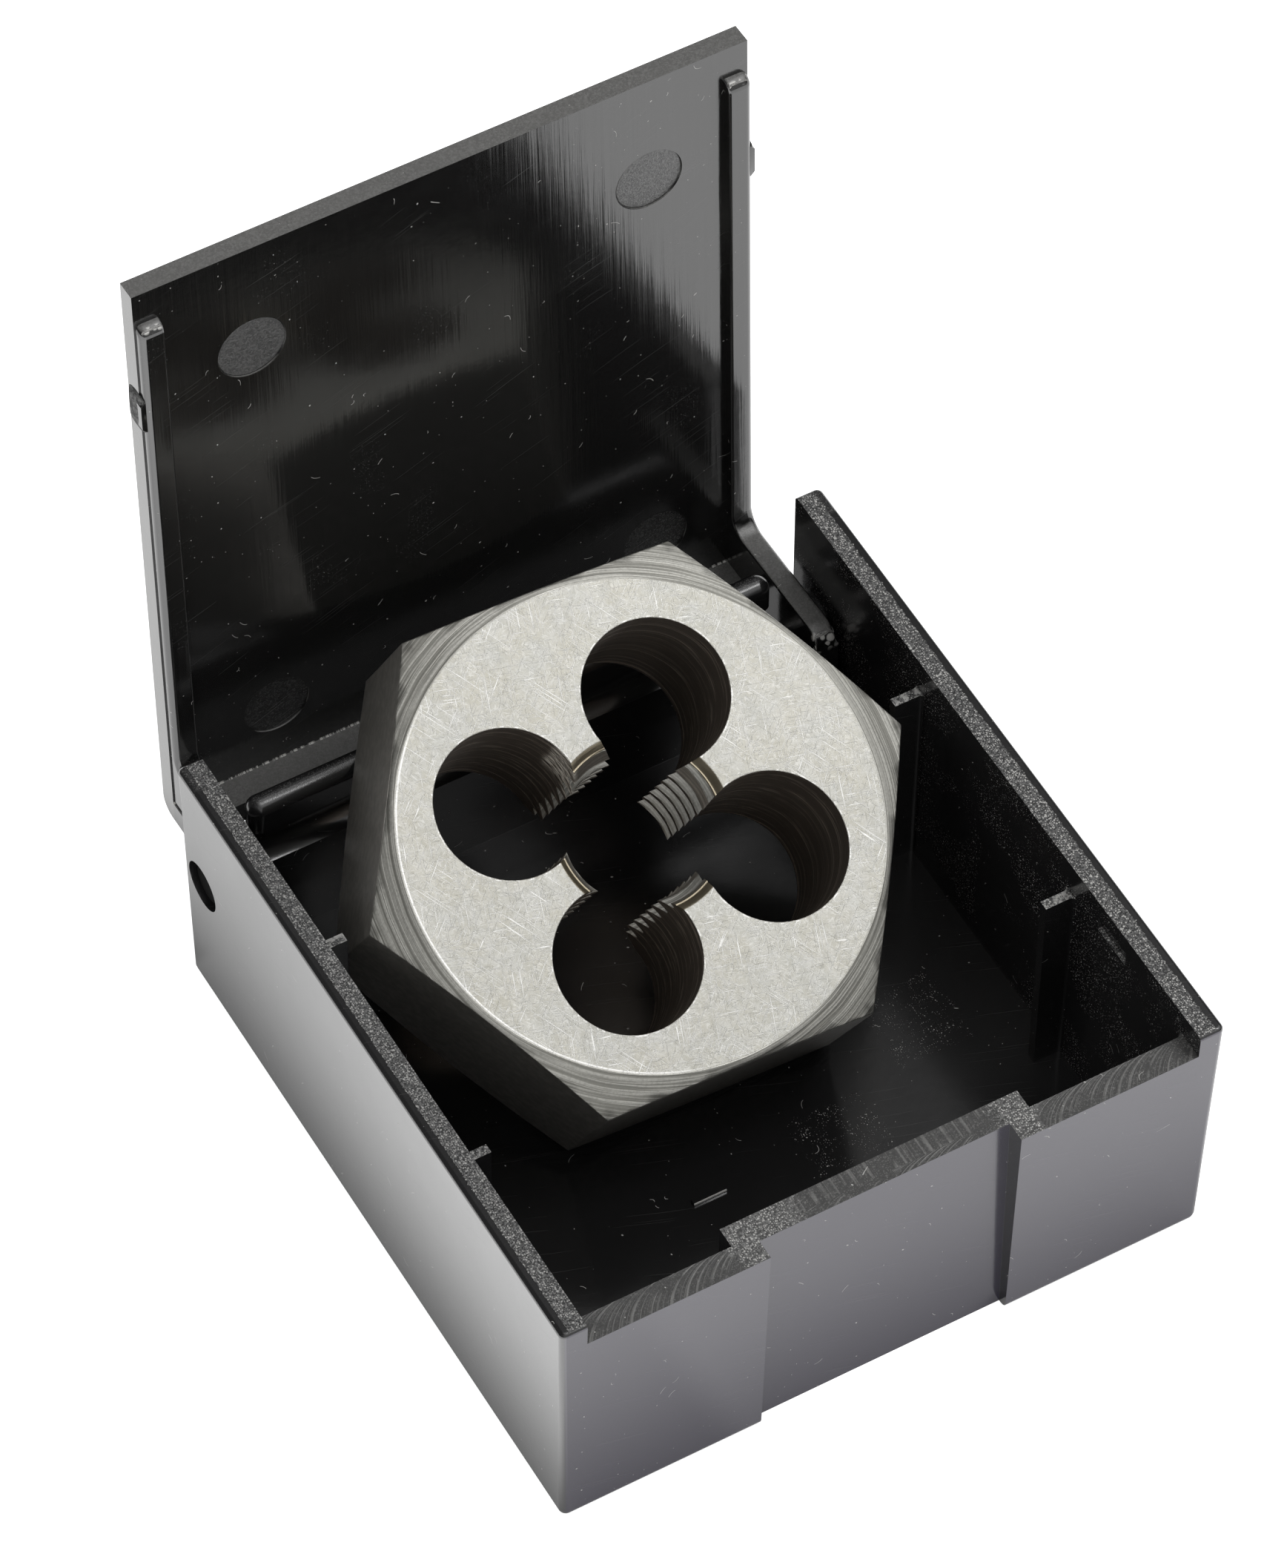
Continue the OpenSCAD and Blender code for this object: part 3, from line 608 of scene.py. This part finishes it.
def steel(name):
    """Ground and turned tool steel: scratched faces, turned corners, dull flats and drilled chip holes, with painted
    highlights round the face's circle and chip holes.
    """
    material, shade, surface = new_material(name)
    point, normal = in_frame(shade, nut_to_row)
    parts = shade.split(point)
    radius = shade.math("SQRT", shade.plus(shade.times(parts["X"], parts["X"]), shade.times(parts["Y"], parts["Y"])))
    facing = shade.math("ABSOLUTE", shade.split(normal)["Z"])
    face = shade.step(facing, 0.975, 0.99)
    wall = shade.step(facing, 0.6, 0.4)
    corner = shade.times(shade.inverse(face), shade.inverse(wall))
    drilled = shade.times(wall, shade.step(radius, 15.6, 15.4))
    flat = shade.point(parts["X"], parts["Y"])

    cloud = shade.noise(point, 0.35, 4.0, 0.6)
    mottle = shade.noise(point, 1.5, 3.0, 0.55)
    grit = shade.noise(point, 5.0, 2.0, 0.6)
    bright, dark = 0.0, 0.0
    for k in range(6):
        turn = 0.25 + k * math.pi / 6
        bright = shade.most(bright, shade.strokes(flat, turn, 0.7, 0.09, 0.7, 0.82, 0.2))
        dark = shade.most(dark, shade.strokes(flat, turn + 0.2, 0.6, 0.1, 0.7, 0.84, 0.2))
    hairs = 0.0
    for turn, length in ((0.95, 6.0), (2.35, 3.5), (0.2, 3.0), (1.8, 5.0)):
        hairs = shade.most(hairs, shade.strokes(flat, turn, length, 0.065, 0.775, 0.81, 0.2))
    wobble = shade.plus(radius, shade.times(shade.noise(point, 0.2, 2.0), 0.25))
    rings = shade.noise(shade.point(wobble, shade.times(parts["X"], 0.015)), 4.6, 3.0, 0.7, "2D")
    slant = shade.times(shade.noise(point, 0.15, 1.0), 1.5)
    turns = shade.noise(shade.point(shade.plus(parts["Z"], slant), shade.times(radius, 0.05)), 1.9, 4.0, 0.85, "2D")

    bands = shade.strokes(flat, 1.45, 12.0, 1.1, 0.35, 0.75)
    ground = shade.blend(shade.step(cloud, 0.35, 0.65), STEEL, STEEL_WARM)
    ground = shade.blend(shade.times(bands, 0.12), ground, STEEL_LIGHT)
    ground = shade.blend(shade.times(shade.step(mottle, 0.42, 0.66), 0.24), ground, STEEL_LIGHT)
    ground = shade.blend(shade.times(shade.step(mottle, 0.56, 0.34), 0.34), ground, STEEL_DARK)
    ground = shade.blend(shade.times(shade.step(grit, 0.5, 0.3), 0.16), ground, STEEL_DARK)
    ground = shade.blend(shade.times(dark, 0.3), ground, STEEL_DARK)
    ground = shade.blend(shade.times(bright, 0.32), ground, STEEL_LIGHT)
    ground = shade.blend(shade.times(hairs, 0.85), ground, STEEL_LIGHT)
    # painted highlights along the face's circle and round the chip holes
    ground = shade.blend(shade.times(rim_light(shade, parts, radius, mottle), 0.7), ground, STEEL_PAINTED_GLINT)
    turned = shade.blend(shade.step(rings, 0.38, 0.6), CORNER_DARK, CORNER_LIGHT)
    turned = shade.blend(shade.times(shade.step(grit, 0.6, 0.3), 0.3), turned, STEEL_DARK)
    bored = shade.blend(shade.step(turns, 0.54, 0.66), HOLE_DARK, HOLE_LIGHT)
    milled = shade.blend(shade.step(mottle, 0.35, 0.7), FLAT_DARK, FLAT_LIGHT)
    base = shade.blend(corner, ground, turned)
    base = shade.blend(wall, base, shade.blend(drilled, milled, bored))
    lead = shade.times(shade.step(radius, BORE_R + LEAD_T + 0.06, BORE_R + LEAD_T - 0.04),
                       shade.step(parts["Z"], NUT_T - LEAD_T - 0.15, NUT_T - LEAD_T - 0.05))
    base = shade.blend(shade.times(lead, 0.85), base, LEAD_BROWN)
    scuffed = shade.times(within(shade, parts["X"], -4.0, 1.1, 0.5), within(shade, parts["Y"], 5.4, 1.6, 0.6))
    scuffed = shade.times(shade.times(scuffed, drilled), shade.step(parts["Z"], 8.5, 10.5))
    scratch = shade.noise(shade.move(point, scale=(0.5, 0.5, 3.5), turn=(0.6, 0.4, 0.0)), 1.6, 3.0, 0.7)
    scuffed = shade.times(scuffed, shade.step(scratch, 0.42, 0.6))
    base = shade.blend(scuffed, base, SCUFF_LIGHT)
    shade.put(surface.inputs["Base Color"], base)
    metal = shade.between(wall, 1.0, shade.between(drilled, 0.5, 0.9))
    shade.put(surface.inputs["Metallic"], shade.times(metal, shade.inverse(shade.times(scuffed, 0.9))))
    rough = shade.between(face, 0.38, shade.between(mottle, 0.34, 0.5))
    shade.put(surface.inputs["Roughness"], shade.between(wall, rough, shade.between(drilled, 0.32, 0.42)))
    relief = shade.times(face, shade.plus(shade.times(bright, -0.002), shade.times(hairs, -0.005)))
    relief = shade.plus(relief, shade.times(corner, shade.times(rings, 0.022)))
    relief = shade.plus(relief, shade.times(drilled, shade.times(turns, 0.08)))
    set_bump(shade, surface, relief)
    return material


# Pieces

def node_group(name, build):
    """A geometry node group with one geometry in and one out, whose middle the build call adds."""
    group = bpy.data.node_groups.new(name, "GeometryNodeTree")
    group.interface.new_socket("Geometry", in_out="INPUT", socket_type="NodeSocketGeometry")
    group.interface.new_socket("Geometry", in_out="OUTPUT", socket_type="NodeSocketGeometry")
    shade = Shade(group)
    start = shade.node("NodeGroupInput").outputs[0]
    shade.put(shade.node("NodeGroupOutput").inputs[0], build(shade, start))
    return group


def joined_mesh(shade, geometry):
    """The mesh with its split corners joined and its stored normals left out."""
    merged = shade.node("GeometryNodeMergeByDistance", {"Geometry": geometry, "Distance": 1e-6}).outputs[0]
    return shade.node("GeometryNodeRemoveAttribute", {"Geometry": merged, "Name": "custom_normal"}).outputs[0]


def smooth_but_sharp(shade, geometry):
    """Smooth shading, but for the edges that turn by more than the limit."""
    angle = shade.node("GeometryNodeInputMeshEdgeAngle").outputs["Unsigned Angle"]
    sharp = shade.node("FunctionNodeCompare", {0: angle, 1: SHARP_ANGLE}, operation="GREATER_THAN").outputs[0]
    faces = shade.node("GeometryNodeSetShadeSmooth", {"Geometry": geometry, "Shade Smooth": True}, domain="FACE").outputs[0]
    return shade.node("GeometryNodeSetShadeSmooth", {"Geometry": faces, "Selection": sharp, "Shade Smooth": False},
                      domain="EDGE").outputs[0]


SHARP_ANGLE = math.radians(40)
joined_group = node_group("joined_mesh", joined_mesh)
shaded_group = node_group("smooth_but_sharp", smooth_but_sharp)


def soften_edges(piece, width, segments, angle):
    """Rounds a piece's sharp edges for the eye and shades its flat faces flat."""
    joined = piece.modifiers.new("joined", "NODES")
    joined.node_group = joined_group
    flat = piece.modifiers.new("flat", "DECIMATE")
    flat.decimate_type = "DISSOLVE"
    flat.angle_limit = math.radians(0.2)
    bevel = piece.modifiers.new("bevel", "BEVEL")
    bevel.width = width
    bevel.segments = segments
    bevel.limit_method = "ANGLE"
    bevel.angle_limit = angle
    bevel.miter_outer = "MITER_ARC"
    bevel.use_clamp_overlap = True
    shaded = piece.modifiers.new("shaded", "NODES")
    shaded.node_group = shaded_group
    even = piece.modifiers.new("even", "WEIGHTED_NORMAL")
    even.keep_sharp = True
    even.weight = 100


def finish_node(node, width, segments, angle, material):
    """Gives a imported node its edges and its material."""
    piece = frame["nodes"][node]
    soften_edges(piece, width, segments, angle)
    piece.data.materials.clear()
    piece.data.materials.append(material)


def mesh_piece(name, mesh, body, material):
    """Makes a piece from a bmesh in metres that rides on a body."""
    data = bpy.data.meshes.new(name)
    mesh.to_mesh(data)
    mesh.free()
    piece = bpy.data.objects.new(name, data)
    bpy.context.scene.collection.objects.link(piece)
    data.materials.append(material)
    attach(piece, body)
    return piece


def snap_pad(side, material):
    """The part of a snap nub that lies on the plate's edge, with a bowed outer face."""
    mesh = bmesh.new()
    columns, rows = 12, 8
    outer, inner = [], []
    for i in range(columns + 1):
        u = 2 * i / columns - 1
        line_out, line_in = [], []
        for j in range(rows + 1):
            v = 2 * j / rows - 1
            y = NUB_Y + u * NUB_HALF_L * (1 - 0.12 * v * v)
            z = NUB_Z + v * NUB_HALF_H * (1 - 0.1 * u ** 4)
            bow = NUB_OUT * (1 - 0.75 * u ** 6) * (1 - 0.7 * v ** 6)
            line_out.append(mesh.verts.new((side * (LID_HALF_W + bow), y, z)))
            line_in.append(mesh.verts.new((side * (LID_HALF_W - 0.1), y, z)))
        outer.append(line_out)
        inner.append(line_in)
    for i in range(columns):
        for j in range(rows):
            mesh.faces.new((outer[i][j], outer[i + 1][j], outer[i + 1][j + 1], outer[i][j + 1]))
            mesh.faces.new((inner[i][j], inner[i][j + 1], inner[i + 1][j + 1], inner[i + 1][j]))
        mesh.faces.new((outer[i][0], inner[i][0], inner[i + 1][0], outer[i + 1][0]))
        mesh.faces.new((outer[i][rows], outer[i + 1][rows], inner[i + 1][rows], inner[i][rows]))
    for j in range(rows):
        mesh.faces.new((outer[0][j], outer[0][j + 1], inner[0][j + 1], inner[0][j]))
        mesh.faces.new((outer[columns][j], inner[columns][j], inner[columns][j + 1], outer[columns][j + 1]))
    bmesh.ops.recalc_face_normals(mesh, faces=mesh.faces)
    mesh.transform(closed_to_open @ Matrix.Scale(MM, 4))
    for face in mesh.faces:
        face.smooth = True
    mesh_piece("snap_pad_" + ("left", "right")[side > 0], mesh, "lid", material)


def nub_plastic(name):
    """The dull, torn surface of the snap nubs."""
    material, shade, surface = new_material(name)
    point = in_frame(shade, closed_to_open)[0]
    grain = shade.noise(point, 3.0, 4.0, 0.7)
    shade.put(surface.inputs["Base Color"], shade.blend(shade.step(grain, 0.35, 0.7), LID_PLASTIC, PLASTIC_WORN))
    shade.put(surface.inputs["Roughness"], shade.between(grain, 0.6, 0.95))
    surface.inputs["IOR"].default_value = 1.5
    set_bump(shade, surface, shade.times(grain, 0.08))
    return material


def land_half_angle(radius, hole_r):
    """Half the angle that a land spans at this radius, between two chip holes."""
    share = (radius ** 2 + CHIP_AWAY ** 2 - hole_r ** 2) / (2 * radius * CHIP_AWAY)
    return math.pi / CHIP_HOLES - math.acos(min(1, share))


def tooth_radius(height, angle):
    """The radius of the thread's flank at this height above the lower face and angle about the axis."""
    phase = (height / THREAD_PITCH - angle / (2 * math.pi)) % 1
    from_root = abs(phase - 0.5) * THREAD_PITCH
    slope = (BORE_R - CREST_R) / (THREAD_PITCH * (0.5 - 1 / 8 - 1 / 16))
    vee = BORE_R - slope * (from_root - THREAD_PITCH / 16)
    lead = BORE_R + 0.2 - 0.55 * min(height, NUT_T - height)
    return min(BORE_R - 0.01, max(vee, lead, CREST_R))


def add_land(mesh, land, rows=150, columns=8, buried=0.35):
    """Adds one land's cut teeth, closed, in the nut's frame and buried in the nut behind its bore."""
    middle = FIRST_HOLE + (land + 0.5) * 2 * math.pi / CHIP_HOLES
    hole_r = CHIP_R + 0.015
    grid = []
    for row in range(rows + 1):
        height = LEAD_T + 0.02 + (NUT_T - 2 * LEAD_T - 0.04) * row / rows
        line = []
        for column in range(columns + 1):
            across = 2 * column / columns - 1
            radius = tooth_radius(height, middle + across * land_half_angle(CREST_R, hole_r))
            angle = middle + across * land_half_angle(radius, hole_r)
            line.append(mesh.verts.new((radius * math.cos(angle), radius * math.sin(angle), height)))
        for column in range(columns, -1, -1):
            radius = BORE_R + buried
            angle = middle + (2 * column / columns - 1) * land_half_angle(radius, hole_r)
            line.append(mesh.verts.new((radius * math.cos(angle), radius * math.sin(angle), height)))
        grid.append(line)
    count = len(grid[0])
    for lower, upper in zip(grid, grid[1:]):
        for i in range(count):
            j = (i + 1) % count
            mesh.faces.new((lower[i], lower[j], upper[j], upper[i]))
    mesh.faces.new(grid[0][::-1])
    mesh.faces.new(grid[-1])


def thread_teeth(material):
    """The cut thread: the teeth on the lands between the chip holes."""
    mesh = bmesh.new()
    for land in range(CHIP_HOLES):
        add_land(mesh, land)
    bmesh.ops.recalc_face_normals(mesh, faces=mesh.faces)
    mesh.transform(nut_to_row @ Matrix.Scale(MM, 4))
    mesh_piece("thread_teeth", mesh, "nut", material)


make_camera()
make_studio()
bpy.context.scene.view_settings.view_transform = "Standard"

case_black = plastic("case_black", CASE_PLASTIC, Matrix.Identity(4), case_zones, 0.17)
lid_black = plastic("lid_black", LID_PLASTIC, closed_to_open, lid_zones, 0.13)
die_steel = steel("die_steel")
finish_node("case_base", 0.15 * MM, 3, math.radians(35), case_black)
finish_node("case_lid", 0.12 * MM, 3, math.radians(35), lid_black)
finish_node("die_nut", 0.08 * MM, 2, math.radians(15), die_steel)
nub_black = nub_plastic("nub_black")
snap_pad(-1, nub_black)
snap_pad(1, nub_black)
thread_teeth(die_steel)
